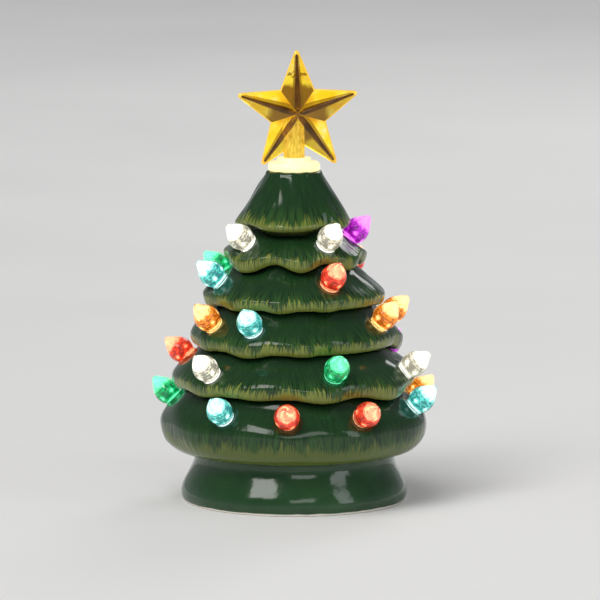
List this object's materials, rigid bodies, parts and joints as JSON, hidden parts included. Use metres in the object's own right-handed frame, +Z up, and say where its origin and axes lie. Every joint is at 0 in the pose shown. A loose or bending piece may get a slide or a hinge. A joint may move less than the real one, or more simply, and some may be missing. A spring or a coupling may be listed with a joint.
{
  "type": "ceramic christmas tree",
  "caption": "Tabletop glazed ceramic Christmas tree with plug-in coloured plastic bulbs and an amber star, lit from inside by a battery lamp in its base.",
  "frame": {"origin": "middle of the foot ring on the plane that it stands on", "axes": "+Z up through the star, the star and the lit front face -Y, +X to the right seen from the front"},
  "size_m": [0.1124, 0.117, 0.1775],
  "materials": {
    "tree_glaze": "glossy brushed green glaze",
    "base_glaze": "glossy dark green glaze",
    "star_amber": "clear amber, polished",
    "collar_amber": "clear pale amber, polished",
    "bulb_white": "clear, polished",
    "bulb_green": "clear green, polished",
    "bulb_red": "clear red, polished",
    "bulb_blue": "clear sky blue, polished",
    "bulb_amber": "clear amber, polished",
    "bulb_purple": "clear purple, polished",
    "black_plastic": "fine texture",
    "knob_plastic": "smooth",
    "steel": "plain",
    "nickel": "nickel plated",
    "silicone": "translucent white",
    "cell_jacket": "plain printed film",
    "board": "white solder mask",
    "resistor_black": "chip",
    "led_lens": "clear epoxy"
  },
  "bodies": {
    "base": {"base_shell": "base_glaze", "battery_case": "black_plastic", "circuit_board": "board", "contact_plates": "nickel", "contact_springs": "nickel", "switch_housing": "steel", "board_screws": "steel", "resistor": "resistor_black", "hinge_pin": "steel", "silicone_bead": "silicone", "battery_cell_1": "cell_jacket", "battery_cell_2": "cell_jacket", "battery_cell_3": "cell_jacket", "led_lamp_1": "led_lens", "led_lamp_2": "led_lens", "led_lamp_3": "led_lens"},
    "tree": {"tree_shell": "tree_glaze", "bulb_1_1_white": "bulb_white", "bulb_1_2_white": "bulb_white", "bulb_1_3_purple": "bulb_purple", "bulb_1_4_green": "bulb_green", "bulb_1_5_red": "bulb_red", "bulb_2_1_green": "bulb_green", "bulb_2_2_blue": "bulb_blue", "bulb_2_3_red": "bulb_red", "bulb_2_4_red": "bulb_red", "bulb_2_5_amber": "bulb_amber", "bulb_2_6_purple": "bulb_purple", "bulb_3_1_amber": "bulb_amber", "bulb_3_2_blue": "bulb_blue", "bulb_3_3_amber": "bulb_amber", "bulb_3_4_amber": "bulb_amber", "bulb_3_5_red": "bulb_red", "bulb_3_6_white": "bulb_white", "bulb_3_7_green": "bulb_green", "bulb_4_1_red": "bulb_red", "bulb_4_2_white": "bulb_white", "bulb_4_3_green": "bulb_green", "bulb_4_4_white": "bulb_white", "bulb_4_5_purple": "bulb_purple", "bulb_4_6_blue": "bulb_blue", "bulb_4_7_amber": "bulb_amber", "bulb_5_1_green": "bulb_green", "bulb_5_2_blue": "bulb_blue", "bulb_5_3_red": "bulb_red", "bulb_5_4_red": "bulb_red", "bulb_5_5_blue": "bulb_blue", "bulb_5_6_amber": "bulb_amber", "bulb_5_7_white": "bulb_white", "bulb_5_8_green": "bulb_green", "bulb_5_9_purple": "bulb_purple"},
    "star": {"star": "star_amber", "star_collar": "collar_amber"},
    "battery_door": {"battery_door": "black_plastic"},
    "switch_knob": {"switch_knob": "knob_plastic"}
  },
  "joints": [
    {"name": "tree_lift", "type": "slide", "parent": "base", "child": "tree", "axis": [0, 0, 1], "range_m": [0, 0.06]},
    {"name": "star_lift", "type": "slide", "parent": "tree", "child": "star", "axis": [0, 0, 1], "range_m": [0, 0.02]},
    {"name": "door_swing", "type": "hinge", "parent": "base", "child": "battery_door", "pos_m": [0, -0.01795, 0.0027], "axis": [-1, 0, 0], "range_deg": [0, 100]},
    {"name": "switch_slide", "type": "slide", "parent": "base", "child": "switch_knob", "axis": [-1, 0, 0], "range_m": [0, 0.003]}
  ]
}
